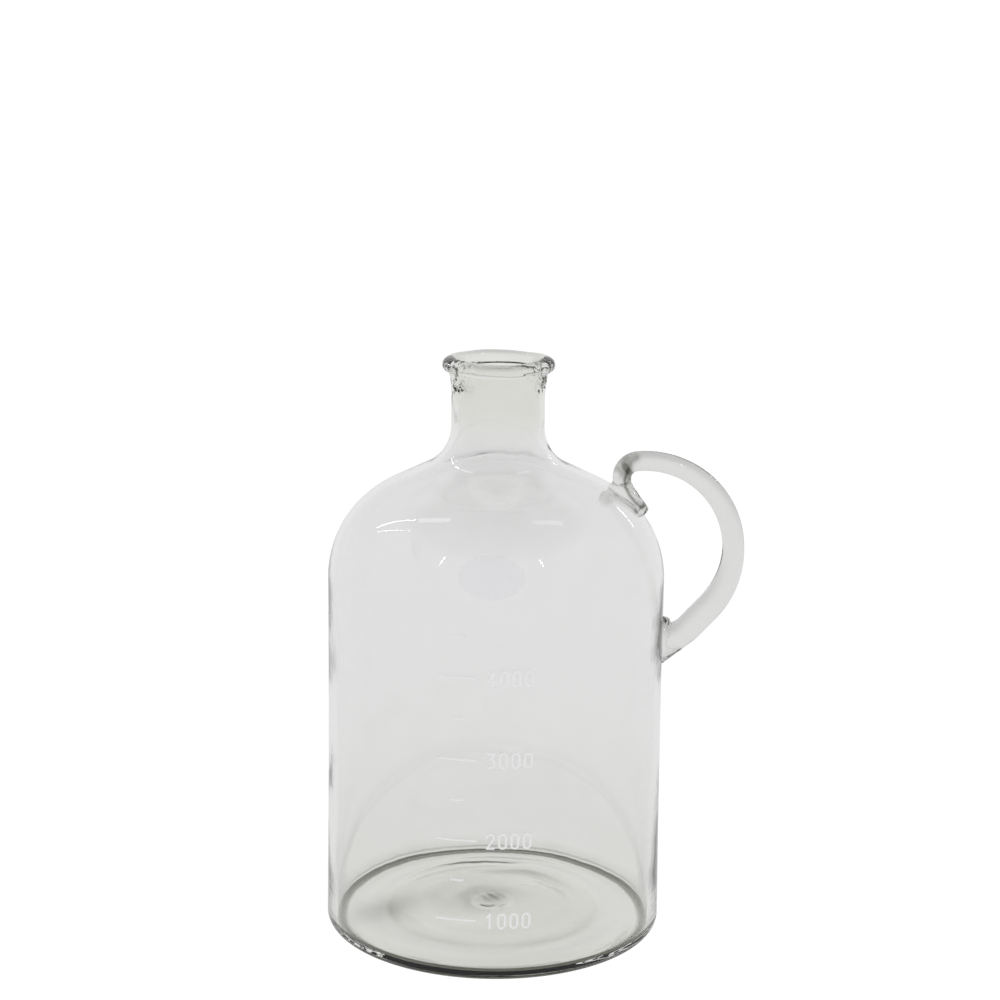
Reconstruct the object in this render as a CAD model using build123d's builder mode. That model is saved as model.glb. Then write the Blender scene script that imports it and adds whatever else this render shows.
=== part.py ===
from build123d import *
import os
from math import atan2, cos, degrees, radians, sin

# Large clear glass water jug with a narrow neck and one looped handle.
# Units are millimetres, +Z is up.  The origin is on the jug's axis, in the
# plane of the ring that it stands on, and the handle points along +X.

os.makedirs("parts", exist_ok=True)

# ---------------------------------------------------------------- body
FOOT_RADIUS = 90.3          # widest circle, at the top of the heel
HEEL_RADIUS = 5.0           # rounded edge between base and wall
REST_INNER_RADIUS = 74.0    # the flat ring the jug stands on starts here
KICK_HEIGHT = 4.0           # how far the middle of the base is pushed up
FLOOR_HEIGHT = 4.0          # inside floor, at its outer edge
FLOOR_CROWN = 8.5           # inside floor, on the axis
GLASS = 3.1                 # thickness of shoulder and neck
FOOT_GLASS = 4.9            # the wall thickens to this at the base
INNER_HEEL_RADIUS = 2.8     # rounded corner between inside wall and floor
WALL_BOW = 0.4              # the wall is drawn in this much at mid height
SHOULDER_RADIUS = 89.2      # wall radius where the shoulder starts
SHOULDER_HEIGHT = 192.0
SHOULDER_ARC = 55.5
SHOULDER_TURN = 63.5        # degrees from vertical at the end of the arc
THROAT_ARC = 24.0           # hollow curve between shoulder and neck
NECK_RADIUS = 24.5
NECK_FLARE_START = 289.0
NECK_TOP = 302.2
NECK_TOP_RADIUS = 26.0
BORE_RADIUS = NECK_RADIUS - GLASS

# ---------------------------------------------------------------- lip
LIP_RADIUS = 29.3
LIP_WIDEST_HEIGHT = 305.6
LIP_TOP = 309.6
LIP_CREST_RADIUS = 24.3
LIP_INNER_ROUND = LIP_CREST_RADIUS - BORE_RADIUS
LIP_UNDERSIDE_POINT = (28.5, 303.4)
LIP_SHOULDER_POINT = (27.7, 308.3)

# ---------------------------------------------------------------- handle
LOOP_X, LOOP_Z = 78.2, 207.6     # centre of the round loop
LOOP_RADIUS = 47.5               # to the middle of the rod
LOOP_START = -43.0               # degrees, where the straight lower end joins
CROOK_RADIUS = 8.8               # tight bend above the shoulder
CROOK_X = 73.6
ROD_LOWER = 14.4                 # rod diameter at the lower foot
ROD_OUTER = 11.8                 # at the outermost point
ROD_TOP = 10.4                   # at the top of the loop
ROD_CROOK = 9.8                  # where it turns down to the shoulder
LOWER_END_LENGTH = 34.0          # straight end, measured from the loop
ROD_FOOT_X = 95.6                # the rod stops here, inside the lower foot
LOOP_SECTIONS = 12               # steps along the loop at which its diameter is set
UPPER_END_HEIGHT = 243.2         # the rod stops here, inside the upper foot

# ---------------------------------------------------------------- feet
PAD_HEIGHT = 157.4               # middle of the lower foot
PAD_TALL = 25.8
PAD_WIDE = 20.0
PAD_FACE_X = 98.4                # outer face of the lower foot
PAD_ROUND = 4.5
SEAT_TOP_HEIGHT = 244.5
# Upper foot under the rod: drop below its top, shift outwards, half length, half width.
SEAT_SECTIONS = [(0.0, 0.0, 4.9, 4.9), (5.0, 0.4, 5.5, 5.9), (14.0, 1.2, 6.4, 7.8)]
# Its tail down the shoulder: x, z, radius, and the way it runs there.
TAIL_SECTIONS = [
    (66.0, 241.0, 5.2, (1, 0, -2)),
    (69.6, 236.2, 4.6, (1, 0, -1.1)),
    (73.2, 232.8, 3.7, (1, 0, -0.85)),
    (76.2, 230.6, 2.7, (1, 0, -0.8)),
]

# ---------------------------------------------------------------- pontil mark
PONTIL_RADIUS = 12.5
PONTIL_CORE_RADIUS = 7.5
PONTIL_THICKNESS = 1.6
PONTIL_CORE_THICKNESS = 0.7
PONTIL_EDGE_THICKNESS = 0.3
PONTIL_BEVEL = 2.0

# ---------------------------------------------------------------- enamel
ENAMEL = 0.2
FIRST_MARK_HEIGHT = 33.4         # the 1000 ml line
LITRE = 42.9                     # height of one litre
LITRES = 4
LINE_WIDTH = 1.1
LONG_LINE_LEFT, LONG_LINE_RIGHT = -28.7, -8.1
SHORT_LINE_LEFT, SHORT_LINE_RIGHT = -21.6, -14.5
DIGIT_HEIGHT = 8.6
DIGIT_WIDTH = 4.6
DIGIT_PITCH = 6.2
STROKE = 1.15
NUMBER_LEFT = -3.6
FIELD_X, FIELD_HEIGHT = -2.2, 213.0
FIELD_HALF_WIDTH, FIELD_HALF_HEIGHT = 16.5, 10.4


def mid_wall(radius_low, z_low, radius_high, z_high):
    """Middle point of the slightly drawn-in wall."""
    return ((radius_low + radius_high) / 2 - WALL_BOW, (z_low + z_high) / 2)


def dome(edge_radius, edge_z, top_z):
    """Shallow dome from its edge to the axis, level on the axis."""
    rise = top_z - edge_z
    radius = (edge_radius**2 + rise**2) / (2 * rise)
    sweep = degrees(atan2(edge_radius, radius - rise))
    return CenterArc((0, top_z - radius), radius, 90 - sweep, sweep)


# The straight slope between shoulder and throat takes up what the arcs leave.
turn_width = 1 - cos(radians(SHOULDER_TURN))
SLOPE_LENGTH = (
    SHOULDER_RADIUS - NECK_RADIUS - (SHOULDER_ARC + THROAT_ARC) * turn_width
) / sin(radians(SHOULDER_TURN))
THROAT_TOP = (
    SHOULDER_HEIGHT
    + (SHOULDER_ARC + THROAT_ARC) * sin(radians(SHOULDER_TURN))
    + SLOPE_LENGTH * cos(radians(SHOULDER_TURN))
)


def outer_outline():
    """Outside of the jug from the resting ring up to the top of the neck."""
    heel_centre = FOOT_RADIUS - HEEL_RADIUS
    heel = CenterArc((heel_centre, HEEL_RADIUS), HEEL_RADIUS, -90, 90)
    top = (SHOULDER_RADIUS, SHOULDER_HEIGHT)
    middle = mid_wall(FOOT_RADIUS, HEEL_RADIUS, SHOULDER_RADIUS, SHOULDER_HEIGHT)
    ThreePointArc(heel @ 1, middle, top)
    shoulder = JernArc(top, (0, 1), SHOULDER_ARC, SHOULDER_TURN)
    slope = Line(shoulder @ 1, shoulder @ 1 + (shoulder % 1) * SLOPE_LENGTH)
    throat = JernArc(slope @ 1, slope % 1, THROAT_ARC, -SHOULDER_TURN)
    neck = Line(throat @ 1, (NECK_RADIUS, NECK_FLARE_START))
    TangentArc(neck @ 1, (NECK_TOP_RADIUS, NECK_TOP), tangent=(0, 1))
    return heel @ 0


# ================================================================ glass body
with BuildPart() as glass_body:
    with BuildSketch(Plane.XZ):
        with BuildLine():
            foot = outer_outline()
            Line((NECK_TOP_RADIUS, NECK_TOP), (BORE_RADIUS, NECK_TOP))
            Line((BORE_RADIUS, NECK_TOP), (BORE_RADIUS, THROAT_TOP))
            throat = JernArc(
                (BORE_RADIUS, THROAT_TOP), (0, -1), THROAT_ARC + GLASS, SHOULDER_TURN
            )
            slope = Line(throat @ 1, throat @ 1 + (throat % 1) * SLOPE_LENGTH)
            shoulder = JernArc(slope @ 1, slope % 1, SHOULDER_ARC - GLASS, -SHOULDER_TURN)
            inner_foot = (FOOT_RADIUS - FOOT_GLASS, FLOOR_HEIGHT + INNER_HEEL_RADIUS)
            inner_top = (SHOULDER_RADIUS - GLASS, SHOULDER_HEIGHT)
            ThreePointArc(shoulder @ 1, mid_wall(*inner_foot, *inner_top), inner_foot)
            floor_edge = inner_foot[0] - INNER_HEEL_RADIUS
            CenterArc((floor_edge, inner_foot[1]), INNER_HEEL_RADIUS, 0, -90)
            dome(floor_edge, FLOOR_HEIGHT, FLOOR_CROWN)
            Line((0, FLOOR_CROWN), (0, KICK_HEIGHT))
            dome(REST_INNER_RADIUS, 0, KICK_HEIGHT)
            Line((REST_INNER_RADIUS, 0), foot)
        make_face()
    revolve(axis=Axis.Z)

# The outside filled in: the handle's feet are cut to it, so that they seat on the glass.
with BuildPart() as envelope:
    with BuildSketch(Plane.XZ):
        with BuildLine():
            foot = outer_outline()
            Polyline((NECK_TOP_RADIUS, NECK_TOP), (0, NECK_TOP), (0, 0), foot)
        make_face()
    revolve(axis=Axis.Z)

# ================================================================ lip ring
with BuildPart() as lip_ring:
    with BuildSketch(Plane.XZ):
        with BuildLine():
            underside = ThreePointArc(
                (NECK_TOP_RADIUS, NECK_TOP),
                LIP_UNDERSIDE_POINT,
                (LIP_RADIUS, LIP_WIDEST_HEIGHT),
            )
            ThreePointArc(
                underside @ 1,
                LIP_SHOULDER_POINT,
                (LIP_CREST_RADIUS, LIP_TOP),
            )
            inner_round_z = LIP_TOP - LIP_INNER_ROUND
            CenterArc((LIP_CREST_RADIUS, inner_round_z), LIP_INNER_ROUND, 90, 90)
            Line((BORE_RADIUS, inner_round_z), (BORE_RADIUS, NECK_TOP))
            Line((BORE_RADIUS, NECK_TOP), (NECK_TOP_RADIUS, NECK_TOP))
        make_face()
    revolve(axis=Axis.Z)

# ================================================================ lower handle foot
with BuildPart() as lower_handle_foot:
    buried = SHOULDER_RADIUS - GLASS
    with BuildSketch(Plane.YZ.offset(buried)):
        with Locations((0, PAD_HEIGHT)):
            Ellipse(PAD_WIDE / 2, PAD_TALL / 2)
    extrude(amount=PAD_FACE_X - buried)
    fillet(lower_handle_foot.edges().sort_by(Axis.X)[-1], PAD_ROUND)
    add(envelope.part, mode=Mode.SUBTRACT)

# ================================================================ upper handle foot
# A seat pressed onto the shoulder, drawn out down the slope to a rounded tip.
rod_down_x = CROOK_X - CROOK_RADIUS
with BuildPart() as upper_handle_foot:
    for drop, shift, half_length, half_width in SEAT_SECTIONS:
        with BuildSketch(Plane.XY.offset(SEAT_TOP_HEIGHT - drop)):
            with Locations((rod_down_x + shift, 0)):
                if half_length == half_width:
                    Circle(half_length)
                else:
                    Ellipse(half_length, half_width)
    loft()
    for x, z, radius, way in TAIL_SECTIONS:
        with BuildSketch(Plane((x, 0, z), x_dir=(0, 1, 0), z_dir=way)):
            Circle(radius)
    loft()
    tip_x, tip_z, tip_radius, tip_way = TAIL_SECTIONS[-1]
    with Locations((tip_x, 0, tip_z)):
        Sphere(tip_radius)
    add(envelope.part, mode=Mode.SUBTRACT)

# ================================================================ handle
# The middle line of the rod, drawn flat: across is X and up is Z.
crook_rise = (LOOP_RADIUS**2 - (CROOK_X - LOOP_X) ** 2) ** 0.5
crook_angle = degrees(atan2(crook_rise, CROOK_X - LOOP_X))
loop_turn = crook_angle - LOOP_START
with BuildLine() as handle_line:
    loop = CenterArc((LOOP_X, LOOP_Z), LOOP_RADIUS, LOOP_START, loop_turn)
    lower_end = Line(loop @ 0 - (loop % 0) * LOWER_END_LENGTH, loop @ 0)
    crook = JernArc(loop @ 1, loop % 1, CROOK_RADIUS, 180 - crook_angle)
    upper_end = Line(crook @ 1, ((crook @ 1).X, UPPER_END_HEIGHT))

# Where the rod's thickness is known: piece of the line, place on it, diameter there.
rod_sections = [(lower_end, 0, ROD_LOWER), (lower_end, 0.5, ROD_LOWER)]
for step in range(LOOP_SECTIONS + 1):
    angle = LOOP_START + loop_turn * step / LOOP_SECTIONS
    if angle < 0:
        diameter = ROD_OUTER + (ROD_LOWER - ROD_OUTER) * angle / LOOP_START
    else:
        diameter = ROD_OUTER + (ROD_TOP - ROD_OUTER) * angle / crook_angle
    rod_sections.append((loop, step / LOOP_SECTIONS, diameter))
rod_sections += [(crook, 0.5, (ROD_TOP + ROD_CROOK) / 2), (crook, 1, ROD_CROOK), (upper_end, 1, ROD_CROOK)]

with BuildPart() as handle:
    for piece, place, diameter in rod_sections:
        point, way = piece @ place, piece % place
        with BuildSketch(Plane((point.X, 0, point.Y), x_dir=(0, 1, 0), z_dir=(way.X, 0, way.Y))):
            Circle(diameter / 2)
    loft()
    with Locations((ROD_FOOT_X, 0, PAD_HEIGHT)):
        Box(
            PAD_TALL, PAD_TALL, 2 * PAD_TALL, mode=Mode.SUBTRACT,
            align=(Align.MAX, Align.CENTER, Align.CENTER),
        )
    add(lower_handle_foot.part, mode=Mode.SUBTRACT)
    add(upper_handle_foot.part, mode=Mode.SUBTRACT)

# ================================================================ pontil mark
# The scar of torn glass left under the pushed-up base, clear of the ground.
with BuildPart() as pontil_mark:
    scar_low = KICK_HEIGHT - PONTIL_THICKNESS
    with BuildSketch(Plane.XZ):
        with BuildLine():
            core_z = KICK_HEIGHT - PONTIL_CORE_THICKNESS
            core = Line((0, core_z), (PONTIL_CORE_RADIUS - PONTIL_BEVEL, core_z))
            scar_edge = (PONTIL_RADIUS, KICK_HEIGHT - PONTIL_EDGE_THICKNESS)
            ThreePointArc(core @ 1, (PONTIL_CORE_RADIUS + PONTIL_BEVEL, scar_low), scar_edge)
            Polyline(scar_edge, (PONTIL_RADIUS, KICK_HEIGHT + 1), (0, KICK_HEIGHT + 1), core @ 0)
        make_face()
    revolve(axis=Axis.Z)
    add(glass_body.part, mode=Mode.SUBTRACT)

# ================================================================ fired-on enamel
litre_height = {
    litre: FIRST_MARK_HEIGHT + (litre - 1) * LITRE for litre in range(1, LITRES + 1)
}


def wall_point(z, proud=0.0):
    """Point on the outside of the wall at a height, or this far in front of it."""
    share = (z - HEEL_RADIUS) / (SHOULDER_HEIGHT - HEEL_RADIUS)
    straight = FOOT_RADIUS + (SHOULDER_RADIUS - FOOT_RADIUS) * share
    return (straight - 4 * WALL_BOW * share * (1 - share) + proud, z)


# A thin coat over the wall, from which each printed mark is cut.  Its edges
# fall half way between two marks.
with BuildPart() as wall_coat:
    edges = [FIRST_MARK_HEIGHT + (step - 0.5) * LITRE / 2 for step in range(2 * LITRES + 1)]
    edges = [min(z, SHOULDER_HEIGHT) for z in edges]
    with BuildSketch(Plane.XZ):
        with BuildLine():
            inside = [wall_point(z) for z in edges]
            outside = [wall_point(z, ENAMEL) for z in reversed(edges)]
            Polyline(*inside, *outside, close=True)
        make_face()
    revolve(axis=Axis.Z)

with BuildPart() as shoulder_coat:
    with BuildSketch(Plane.XZ):
        with BuildLine():
            centre = (SHOULDER_RADIUS - SHOULDER_ARC, SHOULDER_HEIGHT)
            under = CenterArc(centre, SHOULDER_ARC, 0, SHOULDER_TURN)
            over = CenterArc(centre, SHOULDER_ARC + ENAMEL, 0, SHOULDER_TURN)
            Line(under @ 0, over @ 0)
            Line(under @ 1, over @ 1)
        make_face()
    revolve(axis=Axis.Z)

# Marks are drawn on a plane inside the jug and pushed out through the coat.
PRINT_DEPTH = 45
FRONT = Plane.XZ.offset(FOOT_RADIUS - PRINT_DEPTH + 5)


# Strokes of plain round-ended digits, in a cell one wide and one high.
DIGITS = {
    "0": [
        ("arc", (1, 0.75), (0.5, 1), (0, 0.75)),
        ("line", (0, 0.75), (0, 0.25)),
        ("arc", (0, 0.25), (0.5, 0), (1, 0.25)),
        ("line", (1, 0.25), (1, 0.75)),
    ],
    "1": [("line", (0.15, 0.76), (0.55, 1)), ("line", (0.55, 1), (0.55, 0))],
    "2": [
        ("arc", (0, 0.76), (0.5, 1), (0.97, 0.66)),
        ("line", (0.97, 0.66), (0, 0)),
        ("line", (0, 0), (1, 0)),
    ],
    "3": [
        ("line", (0, 1), (1, 1)),
        ("line", (1, 1), (0.45, 0.6)),
        ("arc", (0.45, 0.6), (1, 0.3), (0, 0.08)),
    ],
    "4": [
        ("line", (0.72, 1), (0, 0.3)),
        ("line", (0, 0.3), (1, 0.3)),
        ("line", (0.72, 1), (0.72, 0)),
    ],
}


def draw_digit(digit):
    """Trace one digit's strokes in the sketch that is open, with round ends."""
    width, height = DIGIT_WIDTH - STROKE, DIGIT_HEIGHT - STROKE
    for kind, *cell_points in DIGITS[digit]:
        points = [(x * width, z * height) for x, z in cell_points]
        with BuildLine() as stroke:
            if kind == "arc":
                ThreePointArc(*points)
            else:
                Line(*points)
        trace(stroke.line, line_width=STROKE)
        with Locations(points[0], points[-1]):
            Circle(STROKE / 2)


with BuildPart() as graduation_lines:
    with BuildSketch(FRONT):
        for litre, height in litre_height.items():
            middle_x = (LONG_LINE_LEFT + LONG_LINE_RIGHT) / 2
            with Locations((middle_x, height)):
                Rectangle(LONG_LINE_RIGHT - LONG_LINE_LEFT, LINE_WIDTH)
            middle_x = (SHORT_LINE_LEFT + SHORT_LINE_RIGHT) / 2
            with Locations((middle_x, height + LITRE / 2)):
                Rectangle(SHORT_LINE_RIGHT - SHORT_LINE_LEFT, LINE_WIDTH)
    extrude(amount=PRINT_DEPTH)
    add(wall_coat.part, mode=Mode.INTERSECT)

with BuildPart() as graduation_numbers:
    for litre, height in litre_height.items():
        for place, digit in enumerate(f"{litre * 1000}"):
            corner_x = NUMBER_LEFT + place * DIGIT_PITCH + STROKE / 2
            corner_z = height - (DIGIT_HEIGHT - STROKE) / 2
            with BuildSketch(Plane(FRONT.origin + Vector(corner_x, 0, corner_z), (1, 0, 0), (0, -1, 0))):
                draw_digit(digit)
            extrude(amount=PRINT_DEPTH)
    add(wall_coat.part, mode=Mode.INTERSECT)

with BuildPart() as writing_field:
    with BuildSketch(FRONT):
        with Locations((FIELD_X, FIELD_HEIGHT)):
            Ellipse(FIELD_HALF_WIDTH, FIELD_HALF_HEIGHT)
    extrude(amount=PRINT_DEPTH)
    add(shoulder_coat.part, mode=Mode.INTERSECT)

# ================================================================ parts
glass_body.part.label = "glass_body"
export_step(glass_body.part, "parts/glass_body.step")
lip_ring.part.label = "lip_ring"
export_step(lip_ring.part, "parts/lip_ring.step")
handle.part.label = "handle"
export_step(handle.part, "parts/handle.step")
upper_handle_foot.part.label = "upper_handle_foot"
export_step(upper_handle_foot.part, "parts/upper_handle_foot.step")
lower_handle_foot.part.label = "lower_handle_foot"
export_step(lower_handle_foot.part, "parts/lower_handle_foot.step")
pontil_mark.part.label = "pontil_mark"
export_step(pontil_mark.part, "parts/pontil_mark.step")
graduation_lines.part.label = "graduation_lines"
export_step(graduation_lines.part, "parts/graduation_lines.step")
graduation_numbers.part.label = "graduation_numbers"
export_step(graduation_numbers.part, "parts/graduation_numbers.step")
writing_field.part.label = "writing_field"
export_step(writing_field.part, "parts/writing_field.step")
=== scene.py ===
"""Looks of the large glass water jug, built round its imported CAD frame.

The jug's glass is rebuilt as separate closed pieces, one for each glass node.
Where two pieces are welded together their faces match, and are given a weld
material that light passes straight through.  Lengths in the builders are in
millimetres of the row frame and are turned into metres in make_mesh().
"""

import math

import bpy
import numpy as np
from mathutils import Matrix, Vector, geometry, noise


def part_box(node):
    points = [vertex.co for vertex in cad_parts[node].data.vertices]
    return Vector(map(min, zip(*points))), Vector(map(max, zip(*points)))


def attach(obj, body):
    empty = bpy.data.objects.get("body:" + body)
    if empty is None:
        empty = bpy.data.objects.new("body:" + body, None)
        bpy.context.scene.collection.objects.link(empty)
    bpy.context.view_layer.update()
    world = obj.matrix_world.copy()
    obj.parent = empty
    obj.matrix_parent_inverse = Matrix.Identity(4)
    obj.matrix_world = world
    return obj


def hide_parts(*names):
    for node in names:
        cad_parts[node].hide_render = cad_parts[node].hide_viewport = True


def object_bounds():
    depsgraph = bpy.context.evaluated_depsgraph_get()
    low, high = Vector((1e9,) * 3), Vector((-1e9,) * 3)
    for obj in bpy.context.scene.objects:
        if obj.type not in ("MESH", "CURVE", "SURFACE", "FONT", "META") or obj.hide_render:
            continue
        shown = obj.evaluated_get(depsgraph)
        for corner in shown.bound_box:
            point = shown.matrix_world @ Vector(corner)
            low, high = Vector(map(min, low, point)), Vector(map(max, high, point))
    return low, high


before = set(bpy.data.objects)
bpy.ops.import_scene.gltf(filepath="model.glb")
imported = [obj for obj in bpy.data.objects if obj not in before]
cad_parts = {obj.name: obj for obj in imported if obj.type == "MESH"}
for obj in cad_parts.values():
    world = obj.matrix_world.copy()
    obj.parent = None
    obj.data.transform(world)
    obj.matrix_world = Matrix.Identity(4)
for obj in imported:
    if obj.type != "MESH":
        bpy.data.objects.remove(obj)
cad_low, cad_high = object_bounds()

MM = 0.001
TURN = 2 * math.pi


def box_mm(node):
    low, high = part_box(node)
    return low / MM, high / MM


# ------------------------------------------------------------------ sizes
body_low, body_high = box_mm("glass_body")
lip_low, lip_high = box_mm("lip_ring")
pontil_low, pontil_high = box_mm("pontil_mark")

FOOT_RADIUS = (body_high.x - body_low.x) / 2
NECK_TOP = body_high.z
LIP_RADIUS = (lip_high.x - lip_low.x) / 2
LIP_TOP = lip_high.z
PONTIL_RADIUS = (pontil_high.x - pontil_low.x) / 2
UPPER_END_HEIGHT = box_mm("upper_handle_foot")[1].z     # the rod ends at the top of this foot

GLASS = 3.1
FOOT_GLASS = 4.9        # the wall thickens towards the base
HEEL = 5.0
INNER_HEEL = 2.8
REST_INNER = 74.0
KICK = 4.0
FLOOR_EDGE = 4.0
FLOOR_CROWN = 8.5
WALL_BOW = 0.4
SHOULDER_RADIUS = FOOT_RADIUS - 1.1
SHOULDER_HEIGHT = 192.0
SHOULDER_ARC = 55.5
SHOULDER_TURN = math.radians(63.5)
THROAT_ARC = 24.0
NECK_RADIUS = 24.5
NECK_FLARE_START = 289.0
NECK_TOP_RADIUS = 26.0
BORE = NECK_RADIUS - GLASS
LIP_CREST = 24.3
LIP_WIDEST_HEIGHT = 305.6

SEGMENTS = 224          # round the jug
AROUND = 72             # round the handle and its feet

turn_width = 1 - math.cos(SHOULDER_TURN)
SLOPE = (
    SHOULDER_RADIUS - NECK_RADIUS - (SHOULDER_ARC + THROAT_ARC) * turn_width
) / math.sin(SHOULDER_TURN)
THROAT_TOP = (
    SHOULDER_HEIGHT
    + (SHOULDER_ARC + THROAT_ARC) * math.sin(SHOULDER_TURN)
    + SLOPE * math.cos(SHOULDER_TURN)
)


# ------------------------------------------------------------------ outlines
def arc(centre, radius, start, end, steps):
    angles = [start + (end - start) * k / steps for k in range(steps + 1)]
    return [(centre[0] + radius * math.cos(a), centre[1] + radius * math.sin(a)) for a in angles]


def line(start, end, steps):
    return [
        (start[0] + (end[0] - start[0]) * k / steps, start[1] + (end[1] - start[1]) * k / steps)
        for k in range(steps + 1)
    ]


def bowed(low, high, steps):
    """The slightly drawn-in wall from its low end to its high end."""
    return [
        (r - 4 * WALL_BOW * (k / steps) * (1 - k / steps), z)
        for k, (r, z) in enumerate(line(low, high, steps))
    ]


def dome(edge_radius, edge_z, top_z, radii):
    rise = top_z - edge_z
    radius = (edge_radius**2 + rise**2) / (2 * rise)
    return [(r, top_z - radius + math.sqrt(radius**2 - r**2)) for r in radii]


def joined(*runs):
    points = list(runs[0])
    for run in runs[1:]:
        points += run[1:]
    return points


HALF_PI = math.pi / 2
DOWN = -HALF_PI
shoulder_centre = (SHOULDER_RADIUS - SHOULDER_ARC, SHOULDER_HEIGHT)
throat_centre = (NECK_RADIUS + THROAT_ARC, THROAT_TOP)
throat_low = math.pi + SHOULDER_TURN

heel_run = arc((FOOT_RADIUS - HEEL, HEEL), HEEL, DOWN, 0, 12)
wall_run = bowed((FOOT_RADIUS, HEEL), (SHOULDER_RADIUS, SHOULDER_HEIGHT), 64)
shoulder_run = arc(shoulder_centre, SHOULDER_ARC, 0, SHOULDER_TURN, 30)
throat_run = arc(throat_centre, THROAT_ARC, throat_low, math.pi, 16)
slope_run = line(shoulder_run[-1], throat_run[0], 10)
neck_run = line((NECK_RADIUS, THROAT_TOP), (NECK_RADIUS, NECK_FLARE_START), 8)
flare_rise = NECK_TOP - NECK_FLARE_START
FLARE_STEPS = 26
flare_run = [
    (
        NECK_RADIUS + (NECK_TOP_RADIUS - NECK_RADIUS) * (k / FLARE_STEPS) ** 2,
        NECK_FLARE_START + flare_rise * k / FLARE_STEPS,
    )
    for k in range(FLARE_STEPS + 1)
]
outer_run = joined(heel_run, wall_run, shoulder_run, slope_run, throat_run, neck_run, flare_run)
neck_weld = line((NECK_TOP_RADIUS, NECK_TOP), (BORE, NECK_TOP), 3)

inner_foot = (FOOT_RADIUS - FOOT_GLASS, FLOOR_EDGE + INNER_HEEL)
inner_throat = arc(throat_centre, THROAT_ARC + GLASS, math.pi, throat_low, 16)
inner_shoulder = arc(shoulder_centre, SHOULDER_ARC - GLASS, SHOULDER_TURN, 0, 28)
inner_wall = bowed(inner_foot, (SHOULDER_RADIUS - GLASS, SHOULDER_HEIGHT), 64)[::-1]
inner_heel_centre = (inner_foot[0] - INNER_HEEL, inner_foot[1])
inner_heel = arc(inner_heel_centre, INNER_HEEL, 0, DOWN, 14)
EDGE_BAND, EDGE_STEPS, FLOOR_STEPS = 5, 14, 36      # the floor is split finely beside its edge
floor_rim = inner_heel_centre[0] - EDGE_BAND
floor_radii = [inner_heel_centre[0] - EDGE_BAND * k / EDGE_STEPS for k in range(EDGE_STEPS)]
floor_radii += [floor_rim * (1 - k / FLOOR_STEPS) for k in range(FLOOR_STEPS + 1)]
floor_run = dome(inner_heel_centre[0], FLOOR_EDGE, FLOOR_CROWN, floor_radii)
inner_run = joined(
    line((BORE, NECK_TOP), (BORE, THROAT_TOP), 14),
    inner_throat,
    line(inner_throat[-1], inner_shoulder[0], 10),
    inner_shoulder,
    inner_wall,
    inner_heel,
    floor_run,
)
KICK_STEPS = 24
pontil_radii = [PONTIL_RADIUS * k / 8 for k in range(9)]
kick_radii = pontil_radii + [
    PONTIL_RADIUS + (REST_INNER - PONTIL_RADIUS) * k / KICK_STEPS for k in range(1, KICK_STEPS + 1)
]
kick_run = dome(REST_INNER, 0, KICK, kick_radii)
rest_run = line((REST_INNER, 0), (FOOT_RADIUS - HEEL, 0), 5)


# ------------------------------------------------------------------ unevenness
def waves(theta, z, terms):
    """Smooth hand-made unevenness: a sum of waves round and along the glass."""
    total = 0.0
    for size, turns, height, phase in terms:
        total += size * math.sin(turns * theta + TURN * z / height + phase)
    return total


# Waves: size, turns round the jug, height of one wave, phase
WALL_WAVES = [
    (0.12, 3, 210, 0.4),
    (0.08, 5, -150, 2.1),
    (0.04, 2, 64, 1.3),
    (0.025, 9, 90, 4.0),
    (0.015, 14, -47, 0.9),
]
LIP_WAVES = [(0.22, 2, 60, 0.7), (0.16, 3, 45, 2.9), (0.1, 5, 38, 5.0), (0.05, 9, 30, 1.1)]
BORE_WAVES = [(0.2, 2, 55, 1.9), (0.14, 3, -34, 0.2), (0.08, 5, 21, 3.3), (0.05, 7, -15, 2.2)]
FLOOR_RINGS = [(45.0, 0.22, 3.0), (60.0, 0.3, 2.2), (71.0, 0.16, 2.5)]   # radius, height, width


def ease(x, low, high):
    t = min(1.0, max(0.0, (x - low) / (high - low)))
    return t * t * (3 - 2 * t)


def moved_along(run, theta, move):
    """The outline at one angle, each point moved along its normal by move(r, z)."""
    points = []
    count = len(run)
    for k, (r, z) in enumerate(run):
        before, after = run[max(0, k - 1)], run[min(count - 1, k + 1)]
        way = (after[0] - before[0], after[1] - before[1])
        size = math.hypot(*way) or 1.0
        out = move(r, z, theta)
        points.append((r + out * way[1] / size, z - out * way[0] / size))
    return points


def inside_move(r, z, theta):
    """How far the inner surface stands off its even shape, towards the inside."""
    fade = ease(NECK_TOP - z, 0, 6)
    rings = 0.0
    for ring, depth, width in FLOOR_RINGS:
        uneven = 1 + 0.5 * math.sin(theta * 2 + ring)
        rings += depth * uneven * math.exp(-(((r - ring) / width) ** 2))
    on_floor = 1 - ease(z, 8.6, 12)
    centre = ease(r, 2, 20)
    wall = waves(theta, z, WALL_WAVES) * ease(z, 12, 40) * ease(215 - z, 0, 60)
    neck = waves(theta, z, BORE_WAVES) * ease(z, 245, 275) * fade
    swirl = 0.35 * math.sin(3 * theta + r / 9) * ease(r, 10, 40) * ease(76 - r, 0, 12)
    return wall + neck + on_floor * centre * (rings + swirl)


# Folded places left where the lip was gathered on:
# angle, height, size, spread round the neck in degrees, spread in height
FOLDS = [
    (-143, 296.0, 1.5, 17, 4.6),
    (-20, 296.6, 1.4, 14, 4.8),
    (40, 299.0, 0.5, 22, 2.4),
    (128, 299.0, 0.5, 20, 2.6),
]
FOLD_PERIOD = 2.6


def degrees_from(theta, angle):
    """Turn from an angle in degrees to theta, between -180 and 180."""
    return math.degrees((theta - math.radians(angle) + math.pi) % TURN - math.pi)


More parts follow.
